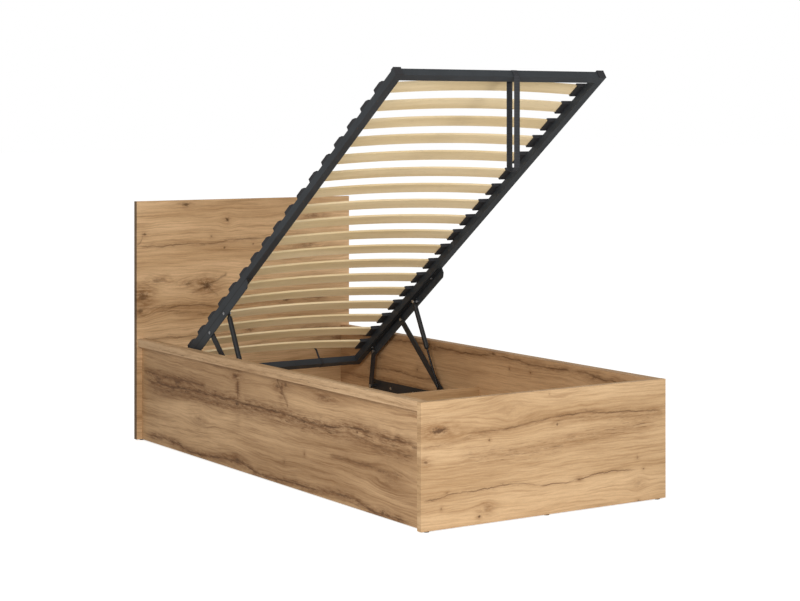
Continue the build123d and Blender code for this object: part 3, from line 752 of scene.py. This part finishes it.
@dataclass
class BedBox:
    """The board box with its headboard, strips, partition, floor and glides."""

    # The headboard's −X end face carries painted shade.
    headboard: RusticOak = field(default_factory=lambda: RusticOak(
        "headboard oak", Grain.WIDTH, seed=31.0, painted_shade_end=True, light=(228, 191, 147), middle=(190, 151, 107),
        knots=(
            Knot(-0.277, 0.938, 0.010, 0.75, 0.5, 2.4), Knot(-0.089, 0.871, 0.013, 0.85, 0.5, 1.0),
            Knot(-0.464, 0.822, 0.008, 0.8, 0.4), Knot(-0.163, 0.804, 0.006, 0.5, 0.3),
            Knot(-0.103, 0.757, 0.008, 0.7, 0.3, 0.9), Knot(0.032, 0.768, 0.006, 0.6, 0.3),
            Knot(-0.186, 0.605, 0.022, 0.85, 0.95, 1.5), Knot(-0.270, 0.616, 0.010, 0.5, 0.7, 2.5),
            Knot(-0.402, 0.635, 0.014, 0.4, 0.6, 3.0), Knot(-0.472, 0.575, 0.029, 0.6, 1.0, 1.0),
            Knot(-0.482, 0.515, 0.016, 0.6, 0.8, 1.2), Knot(0.316, 0.876, 0.012, 0.35, 0.6, 4.0),
            Knot(0.282, 0.751, 0.012, 0.4, 0.5, 4.0), Knot(0.190, 0.528, 0.010, 0.7, 0.6, 2.5),
            Knot(0.013, 0.413, 0.012, 0.5, 0.4, 2.0), Knot(0.445, 0.357, 0.014, 0.4, 0.6, 4.0),
        ),
        cracks=(
            Crack((
                (-0.497, 0.776), (-0.40, 0.772), (-0.277, 0.778), (-0.149, 0.776), (-0.057, 0.789),
                (0.113, 0.788), (0.30, 0.80),
            ), 0.0026, 0.62, 0.35, 0.012),
            Crack((
                (-0.497, 0.540), (-0.393, 0.524), (-0.259, 0.528), (-0.122, 0.520), (0.05, 0.532), (0.40, 0.528),
            ), 0.0026, 0.62, 0.55, 0.018),
            Crack(((-0.497, 0.484), (-0.393, 0.508), (-0.259, 0.500), (-0.168, 0.489)), 0.002, 0.5, 0.35, 0.012),
            Crack(((-0.470, 0.818), (-0.480, 0.79), (-0.497, 0.778)), 0.003, 0.5, 0.3, 0.01),
            Crack(((-0.255, 0.575), (-0.186, 0.605), (-0.089, 0.650)), 0.004, 0.55, 0.5, 0.012),
            Crack(((-0.215, 0.628), (-0.186, 0.605), (-0.13, 0.560)), 0.004, 0.5, 0.4, 0.010),
            Crack((
                (-0.497, 0.395), (-0.2, 0.405), (0.1, 0.392), (0.3, 0.400), (0.497, 0.395),
            ), 0.002, 0.45, 0.4, 0.014),
        ),
    ))
    footboard: RusticOak = field(default_factory=lambda: RusticOak(
        "footboard oak", Grain.WIDTH, seed=4.0,
        knots=(
            Knot(-0.430, 0.312, 0.014, 0.85, 0.9, 3.0), Knot(0.035, 0.292, 0.007, 0.7, 0.4, 1.0),
            Knot(-0.237, 0.268, 0.006, 0.7, 0.5, 0.8), Knot(0.003, 0.395, 0.004, 0.5, 0.3, 0.7),
            Knot(-0.482, 0.219, 0.008, 0.45, 0.8, 1.6), Knot(0.374, 0.152, 0.007, 0.35, 0.4, 0.7),
            Knot(0.400, 0.112, 0.004, 0.6, 0.4, 1.2), Knot(0.126, 0.104, 0.005, 0.6, 0.6, 2.0),
            Knot(-0.276, 0.028, 0.006, 0.85, 0.7, 1.2), Knot(-0.250, 0.050, 0.011, 0.15, 0.75, 1.5),
            Knot(0.378, 0.007, 0.005, 0.85, 0.6, 1.2), Knot(0.378, 0.064, 0.013, 0.16, 0.45, 1.3),
            Knot(-0.422, 0.070, 0.005, 0.55, 0.5, 0.7), Knot(-0.146, 0.352, 0.022, 0.0, 0.22, 1.8),
            Knot(-0.400, 0.116, 0.004, 0.5, 0.5, 1.8),
        ),
        cracks=(
            Crack((
                (-0.330, 0.292), (-0.295, 0.297), (-0.194, 0.296), (-0.114, 0.303), (-0.022, 0.312),
                (0.135, 0.321), (0.245, 0.312), (0.348, 0.308), (0.42, 0.304), (0.497, 0.299),
            ), 0.0024, 0.8, 0.55, 0.013),
            Crack(((-0.497, 0.262), (-0.387, 0.272), (-0.295, 0.284), (-0.194, 0.290)), 0.0014, 0.5, 0.35, 0.010),
            Crack((
                (0.00, 0.300), (0.135, 0.309), (0.260, 0.298), (0.37, 0.292), (0.497, 0.288),
            ), 0.004, 0.15, 0.45, 0.016),
            Crack((
                (-0.497, 0.103), (-0.430, 0.100), (-0.380, 0.110), (-0.260, 0.113), (-0.154, 0.119),
                (-0.082, 0.112), (0.0, 0.099), (0.126, 0.104), (0.227, 0.116), (0.369, 0.112),
            ), 0.0017, 0.8, 0.25, 0.008),
            Crack((
                (-0.36, 0.235), (-0.15, 0.215), (0.10, 0.235), (0.30, 0.255), (0.46, 0.262),
            ), 0.006, 0.05, 0.42, 0.030),
        ),
    ))
    side_left: RusticOak = field(default_factory=lambda: RusticOak(
        "left side oak", Grain.LENGTH, seed=57.0, light=(212, 175, 132), middle=(162, 126, 87), brown=(112, 72, 36),
        knots=(
            Knot(0.862, 0.262, 0.014, 0.5, 0.7, 3.0), Knot(0.695, 0.268, 0.014, 0.6, 0.7, 2.5),
            Knot(0.627, 0.240, 0.006, 0.7, 0.5), Knot(0.212, 0.246, 0.012, 0.75, 0.9, 2.0),
            Knot(0.205, 0.300, 0.045, 0.55, 0.9, 0.2),
            Knot(0.222, 0.345, 0.010, 0.6, 0.8, 2.6), Knot(-0.118, 0.335, 0.034, 0.4, 0.75, 0.35),
            Knot(-0.087, 0.344, 0.010, 0.6, 0.6, 2.0),
            Knot(-0.145, 0.356, 0.008, 0.6, 0.6, 2.0), Knot(-0.409, 0.344, 0.010, 0.35, 0.7, 4.5),
            Knot(-0.275, 0.132, 0.006, 0.5, 0.5, 0.8), Knot(0.510, 0.150, 0.016, 0.15, 0.4, 2.0),
            Knot(-0.137, 0.085, 0.006, 0.4, 0.4, 1.2), Knot(-0.807, 0.134, 0.020, 0.10, 0.4, 2.2),
            Knot(0.208, 0.037, 0.013, 0.7, 0.8, 2.6), Knot(-0.772, 0.016, 0.010, 0.75, 0.8, 2.2),
            Knot(-0.837, 0.243, 0.006, 0.5, 0.6, 5.0), Knot(-0.960, 0.254, 0.006, 0.55, 0.6, 4.0),
            Knot(0.10, 0.245, 0.005, 0.7, 0.5, 1.0), Knot(-0.62, 0.255, 0.006, 0.7, 0.5, 1.4),
        ),
        cracks=(
            Crack((
                (-0.986, 0.274), (-0.754, 0.262), (-0.632, 0.268), (-0.455, 0.250), (-0.262, 0.247),
                (-0.151, 0.255), (0.103, 0.252), (0.239, 0.256), (0.577, 0.252), (0.80, 0.243), (1.0, 0.256),
            ), 0.0032, 0.85, 0.85, 0.024, 0.9),
            Crack((
                (-1.0, 0.232), (-0.8, 0.225), (-0.6, 0.243), (-0.35, 0.232), (-0.05, 0.240), (0.3, 0.232),
                (0.6, 0.235), (0.85, 0.225), (1.0, 0.23),
            ), 0.003, 0.35, 0.65, 0.028, 0.7),
            Crack(((0.45, 0.275), (0.60, 0.282), (0.75, 0.276), (1.0, 0.284)), 0.003, 0.6, 0.8, 0.018, 0.8),
            Crack((
                (-0.952, 0.024), (-0.772, 0.012), (-0.620, 0.030), (-0.525, 0.034), (-0.302, 0.020),
                (-0.172, 0.023), (-0.008, 0.014), (0.208, 0.035), (0.543, 0.016), (0.773, 0.034), (1.0, 0.029),
            ), 0.003, 0.75, 0.8, 0.016, 0.8),
            Crack(((-0.44, 0.150), (-0.60, 0.155), (-0.90, 0.150)), 0.003, 0.4, 0.5, 0.012),
            Crack(((-0.165, 0.279), (-0.116, 0.333), (-0.080, 0.370)), 0.006, 0.55, 0.6, 0.016),
        ),
    ))
    side_right: RusticOak = field(default_factory=lambda: RusticOak(
        "right side oak", Grain.LENGTH, seed=83.0, light=(205, 166, 124), middle=(180, 141, 101), brown=(130, 92, 58),
        knots=(
            Knot(0.300, 0.378, 0.010, 0.5, 0.7, 3.0), Knot(-0.10, 0.395, 0.008, 0.7, 0.6, 3.0),
            Knot(-0.33, 0.352, 0.006, 0.6, 0.5, 0.9), Knot(-0.20, 0.352, 0.006, 0.6, 0.5, 0.8),
            Knot(-0.70, 0.378, 0.010, 0.6, 0.7, 3.0), Knot(-0.84, 0.366, 0.012, 0.7, 0.75, 2.5),
            Knot(0.42, 0.28, 0.007, 0.6, 0.5, 1.2), Knot(0.70, 0.30, 0.010, 0.4, 0.6, 2.0),
        ),
        cracks=(
            Crack((
                (-0.93, 0.395), (-0.80, 0.372), (-0.62, 0.386), (-0.40, 0.380), (-0.15, 0.392), (0.1, 0.380),
                (0.35, 0.388), (0.7, 0.380), (1.0, 0.386),
            ), 0.0034, 0.7, 0.6, 0.014),
            Crack(((0.25, 0.262), (0.40, 0.250), (0.60, 0.258), (0.80, 0.246)), 0.003, 0.65, 0.5, 0.012),
            Crack(((-1.0, 0.20), (-0.5, 0.215), (0.0, 0.198), (0.5, 0.21), (1.0, 0.20)), 0.003, 0.4, 0.5, 0.020),
        ),
    ))

    def dress(self) -> None:
        """Give every board, strip, panel, batten and glide its material."""
        clothe(["headboard"], self.headboard.make())
        clothe(["footboard"], self.footboard.make())
        clothe(["side_left"], self.side_left.make())
        clothe(["side_right"], self.side_right.make())
        strip = RusticOak(
            "strip oak", Grain.LENGTH, seed=11.0, light=(212, 178, 138), middle=(190, 154, 114),
            cracks=(Crack(((-1.0, 0.386), (-0.2, 0.390), (0.4, 0.384), (1.0, 0.389)), 0.0016, 0.25, 0.3, 0.006),),
        ).make()
        clothe(["strip_left", "strip_right"], strip)
        inner = RusticOak(
            "partition oak", Grain.WIDTH, seed=19.0,
            knots=(Knot(0.21, 0.20, 0.008), Knot(-0.18, 0.13, 0.010)),
            cracks=(Crack(((-0.45, 0.15), (0.0, 0.165), (0.45, 0.15)), 0.002, 0.5, 0.4),),
        ).make()
        clothe(["partition"], inner)
        clothe(["floor_panel_foot", "floor_panel_head"], PaleWood(
            "floor board", Grain.LENGTH, (226, 214, 192), (212, 198, 172), 0.5).make())
        clothe(["batten_left", "batten_right"], PaleWood("long batten wood", Grain.LENGTH).make())
        clothe(["batten_foot", "batten_head", "batten_middle"], PaleWood("cross batten wood", Grain.WIDTH).make())
        clothe(["floor_glides"], MouldedPlastic("glide plastic", (70, 52, 36), 0.5).make())


@dataclass
class SlattedBase:
    """The steel frame with its slats, holders, corner caps, mattress stop and pull strap."""

    slats: int = 18
    stop_half: float = 0.243
    stop_height: float = 0.066
    stop_bend: float = 0.022
    stop_radius: float = 0.004
    stop_seat: float = 0.0008
    band_wall: float = 0.0015
    band_half: float = 0.005
    strap_x: float = 0.050
    strap_width: float = 0.024
    strap_thickness: float = 0.0018
    strap_gap: float = 0.0003
    strap_drop: float = 0.341

    def dress(self) -> None:
        """Give the steel, plastic and wood of the base their materials."""
        frame_paint = PowderCoat("frame paint", (47, 51, 55)).make()
        clothe(["rail_left", "rail_right", "foot_crossbar", "head_crossbar"], frame_paint)
        plastic = MouldedPlastic("black plastic").make()
        clothe(["corner_caps", "slat_holders"], plastic)
        birch = PaleWood("slat birch", Grain.WIDTH, (244, 222, 180), (226, 201, 154)).make()
        clothe([f"slat_{i:02d}" for i in range(1, self.slats + 1)], birch)

    def mattress_stop(self) -> bpy.types.Object:
        """Round rod bent at two corners, on two bands round the head crossbar.

        Returns:
            The joined rod and bands.
        """
        station = BASE.length - BASE.tube_width / 2
        low, high = BASE.tube_height + self.stop_seat, BASE.tube_height + self.stop_height
        corners = np.array([
            BASE.at(-self.stop_half, station, low), BASE.at(-self.stop_half, station, high),
            BASE.at(self.stop_half, station, high), BASE.at(self.stop_half, station, low),
        ])
        path = rounded_path(corners, self.stop_bend, 14)
        rod = grid_mesh("stop_rod", carry(path, ring(self.stop_radius, 20), BASE.along, False), False, True, True)
        parts = [rod]
        wall, wide = self.band_wall, self.band_half
        for x in (-self.stop_half, self.stop_half):
            half = BASE.tube_width / 2 + wall / 2
            hoop = np.array([
                BASE.at(x, station - half, -wall / 2), BASE.at(x, station + half, -wall / 2),
                BASE.at(x, station + half, BASE.tube_height + wall / 2),
                BASE.at(x, station - half, BASE.tube_height + wall / 2),
            ])
            profile = np.array([(-wide, -wall / 2), (wide, -wall / 2), (wide, wall / 2), (-wide, wall / 2)])
            band = rounded_path(hoop, 0.0012, 4, True)
            parts.append(grid_mesh("stop_band", carry(band, profile, np.array([1.0, 0.0, 0.0]), True), True, True))
        stop = join("mattress_stop_rod", parts)
        face_outwards(stop)
        smooth(stop)
        stop.data.materials.append(PowderCoat("stop paint", (40, 40, 43)).make())
        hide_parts("mattress_stop")
        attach(stop, "slat_frame")
        log.info("made %s", stop.name)
        return stop

    def pull_strap(self) -> bpy.types.Object:
        """Webbing loop over the foot crossbar, two strands hanging plumb to a half circle below.

        Returns:
            The strap.
        """
        front_low, front_high = BASE.at(0, 0, 0), BASE.at(0, 0, BASE.tube_height)
        back_high = BASE.at(0, BASE.tube_width, BASE.tube_height)
        off = self.strap_gap + self.strap_thickness / 2
        front_y = front_low[1] - off
        back_y = back_high[1] + off
        half = (back_y - front_y) / 2
        bottom = front_high[2] - self.strap_drop
        turn = bottom + half
        lean = np.linspace(0.0, math.pi, 24)
        arc_y = (front_y + back_y) / 2 + half * np.cos(lean)
        arc_z = turn - half * np.sin(lean)
        down_back = np.linspace(back_high[2] + 0.001, turn, 60)[:-1]
        up_front = np.linspace(turn, front_low[2] - 0.001, 60)[1:]
        y = np.concatenate([np.full(59, back_y), arc_y, np.full(59, front_y)])
        z = np.concatenate([down_back, arc_z, up_front])
        top = rounded_path(np.array([
            [0.0, front_y, front_low[2] - 0.001],
            [0.0, front_low[1] - off, front_low[2] + 0.002],
            list(front_high + np.array([0.0, -off * 0.6, off * 0.9])),
            list(back_high + np.array([0.0, off * 0.7, off * 0.9])),
            [0.0, back_y, back_high[2] + 0.001],
        ]), 0.003, 6)
        path = np.vstack([np.stack([np.zeros_like(y), y, z], axis=-1), top[1:-1]])
        path[:, 0] = self.strap_x
        w, t = self.strap_width / 2, self.strap_thickness / 2
        profile = np.array([
            (-w, -t * 0.4), (-w * 0.94, -t), (-w * 0.4, -t), (0, -t), (w * 0.4, -t), (w * 0.94, -t), (w, -t * 0.4),
            (w, t * 0.4), (w * 0.94, t), (w * 0.4, t), (0, t), (-w * 0.4, t), (-w * 0.94, t), (-w, t * 0.4),
        ])
        strap = grid_mesh("pull_webbing", carry(path, profile, np.array([1.0, 0.0, 0.0]), True), True, True)
        lengths = np.concatenate([[0.0], np.cumsum(np.linalg.norm(np.diff(path, axis=0), axis=1))])
        self._lay_uv(strap, lengths, profile)
        face_outwards(strap)
        smooth(strap, 50.0)
        strap.data.materials.append(Webbing("strap webbing").make())
        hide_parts("pull_strap")
        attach(strap, "slat_frame")
        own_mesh(strap)
        log.info("made %s", strap.name)
        return strap

    def _lay_uv(self, strap: bpy.types.Object, lengths: np.ndarray, profile: np.ndarray) -> None:
        """Store metres along the strap and the share across it as the UV map named strap.

        Args:
            strap: The strap, still in its grid's order of points.
            lengths: Metres from the start to each row.
            profile: The section's points.
        """
        rows, columns = len(lengths), len(profile)
        loops = np.empty(len(strap.data.loops), dtype=np.int64)
        strap.data.loops.foreach_get("vertex_index", loops)
        row, column = loops // columns, loops % columns
        layer = strap.data.uv_layers.new(name="strap")
        across = profile[column, 0] / self.strap_width + 0.5
        layer.data.foreach_set("uv", np.stack([lengths[row], across], axis=-1).ravel().astype(np.float32))

    def make(self) -> None:
        """Dress the base and make its own pieces."""
        self.dress()
        self.mattress_stop()
        self.pull_strap()


@dataclass
class LiftLinkage:
    """Base plates, links, angles, gas springs and their bolts, on both sides."""

    def dress(self) -> None:
        """Give the painted, plated and polished steel of the linkage its materials."""
        painted = PowderCoat("mechanism paint", (38, 38, 40), 0.42).make()
        # The angle paint draws a painted shade line where the angle meets the rail.
        angle_paint = PowderCoat("angle paint", (47, 51, 55), painted_seam_shade=0.0032).make()
        clothe(["upper_bracket_left", "upper_bracket_right"], angle_paint)
        names = ["base_plate", "long_arm", "short_link"]
        clothe([f"{name}_{side}" for name in names for side in ("left", "right")], painted)
        bright = PlatedSteel("bright steel").make()
        fixings = ["base_plate_screws", "bracket_bolts", "upper_pivot_bolts", "lower_pivot_heads", "link_foot_rivets"]
        clothe(fixings, bright)
        black = PowderCoat("cylinder paint", (22, 22, 23), 0.36, 200.0).make()
        clothe(["gas_cylinder_left", "gas_cylinder_right"], black)
        clothe(["gas_rod_left", "gas_rod_right"], PlatedSteel("dark rod", (52, 52, 54), 0.26).make())


@dataclass(frozen=True)
class Lamp:
    """A soft square lamp: where it hangs, what it faces, its side in metres and its watts."""

    name: str
    place: Point
    target: Point
    size: float
    power: float

    def hang(self) -> None:
        """Add the lamp, aimed at its target and unseen by the camera."""
        light = bpy.data.lights.new(self.name, "AREA")
        light.shape = "SQUARE"
        light.size = self.size
        light.energy = self.power
        lamp = bpy.data.objects.new(self.name, light)
        bpy.context.scene.collection.objects.link(lamp)
        aim = np.array(self.target) - np.array(self.place)
        aim = aim / np.linalg.norm(aim)
        lamp.location = self.place
        lamp.visible_camera = False
        lamp.rotation_euler = (math.acos(-aim[2]), 0.0, math.atan2(aim[1], aim[0]) - math.pi / 2)


@dataclass
class Studio:
    """Plain pale floor, soft lamps, a white surround for the camera, and the camera itself."""

    white: float = 1.0
    ambient: float = 0.46
    floor_half: float = 60.0
    floor_glow: float = 0.68
    lens: float = 85.76
    shift: float = -0.2274
    eye: Point = (-3.783, -5.935, 1.286)
    heading: float = -33.186
    lamps: tuple[Lamp, ...] = (
        Lamp("key", (0.9, -7.8, 1.3), (0.0, 0.0, 0.6), 2.4, 190.0),
        Lamp("side", (-3.2, -2.9, 2.0), (-0.4, -0.8, 0.3), 1.4, 88.0),
    )

    def surround(self) -> None:
        """White for the camera and transmission; a plain grey light for the rest."""
        world = bpy.data.worlds.new("studio")
        world.use_nodes = True
        tree = world.node_tree
        tree.nodes.clear()
        path = tree.nodes.new("ShaderNodeLightPath")
        seen = tree.nodes.new("ShaderNodeMath")
        seen.operation = "MAXIMUM"
        tree.links.new(path.outputs["Is Camera Ray"], seen.inputs[0])
        tree.links.new(path.outputs["Is Transmission Ray"], seen.inputs[1])
        plain, white = tree.nodes.new("ShaderNodeBackground"), tree.nodes.new("ShaderNodeBackground")
        plain.inputs[0].default_value = (1.0, 0.985, 0.96, 1.0)
        plain.inputs[1].default_value = self.ambient
        white.inputs[1].default_value = self.white
        white.inputs[0].default_value = (1.0, 1.0, 1.0, 1.0)
        mix, out = tree.nodes.new("ShaderNodeMixShader"), tree.nodes.new("ShaderNodeOutputWorld")
        tree.links.new(seen.outputs[0], mix.inputs[0])
        tree.links.new(plain.outputs[0], mix.inputs[1])
        tree.links.new(white.outputs[0], mix.inputs[2])
        tree.links.new(mix.outputs[0], out.inputs[0])
        bpy.context.scene.world = world

    def floor(self) -> None:
        """Wide pale floor that keeps the shadow and fades to white for the camera."""
        size = self.floor_half
        corners = np.array([[[-size, -size, 0.0], [size, -size, 0.0]], [[-size, size, 0.0], [size, size, 0.0]]])
        floor = grid_mesh("studio_floor", corners, False, False)
        floor.data.flip_normals()
        d = Dress("studio floor")
        path = d.node("ShaderNodeLightPath")
        d.finish((0.80, 0.80, 0.80, 1.0), 0.9, Specular_IOR_Level=0.0)
        glow = d.node("ShaderNodeEmission", None, {"Color": (1.0, 1.0, 1.0, 1.0), "Strength": self.floor_glow})
        both = d.node("ShaderNodeAddShader")
        d.tree.links.new(d.surface.outputs[0], both.inputs[0])
        d.tree.links.new(glow.outputs[0], both.inputs[1])
        pick = d.node("ShaderNodeMixShader")
        d.tree.links.new(path.outputs["Is Camera Ray"], pick.inputs[0])
        d.tree.links.new(d.surface.outputs[0], pick.inputs[1])
        d.tree.links.new(both.outputs[0], pick.inputs[2])
        out = next(n for n in d.tree.nodes if n.type == "OUTPUT_MATERIAL")
        d.tree.links.new(pick.outputs[0], out.inputs[0])
        floor.data.materials.append(d.material)

    def camera(self) -> None:
        """Camera fitted to the photograph's straight edges, level, with a vertical shift."""
        data = bpy.data.cameras.new("camera")
        data.lens = self.lens
        data.sensor_width = 36.0
        data.shift_y = self.shift
        data.clip_end = 200.0
        camera = bpy.data.objects.new("camera", data)
        camera.location = self.eye
        camera.rotation_euler = (math.radians(90.0), 0.0, math.radians(self.heading))
        bpy.context.scene.collection.objects.link(camera)
        bpy.context.scene.camera = camera

    def make(self) -> None:
        """Set the whole stage."""
        self.surround()
        self.floor()
        self.camera()
        for lamp in self.lamps:
            lamp.hang()
        bpy.context.scene.view_settings.view_transform = "Standard"


def corners(low: np.ndarray, high: np.ndarray) -> list[list[float]]:
    """A box as two plain lists of numbers."""
    return [[float(v) for v in low], [float(v) for v in high]]


def main() -> None:
    """Build the stage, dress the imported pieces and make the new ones."""
    logging.basicConfig(level=logging.INFO, format="%(message)s")
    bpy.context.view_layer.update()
    Studio().make()
    BedBox().dress()
    SlattedBase().make()
    LiftLinkage().dress()


if __name__ == "__main__":
    main()
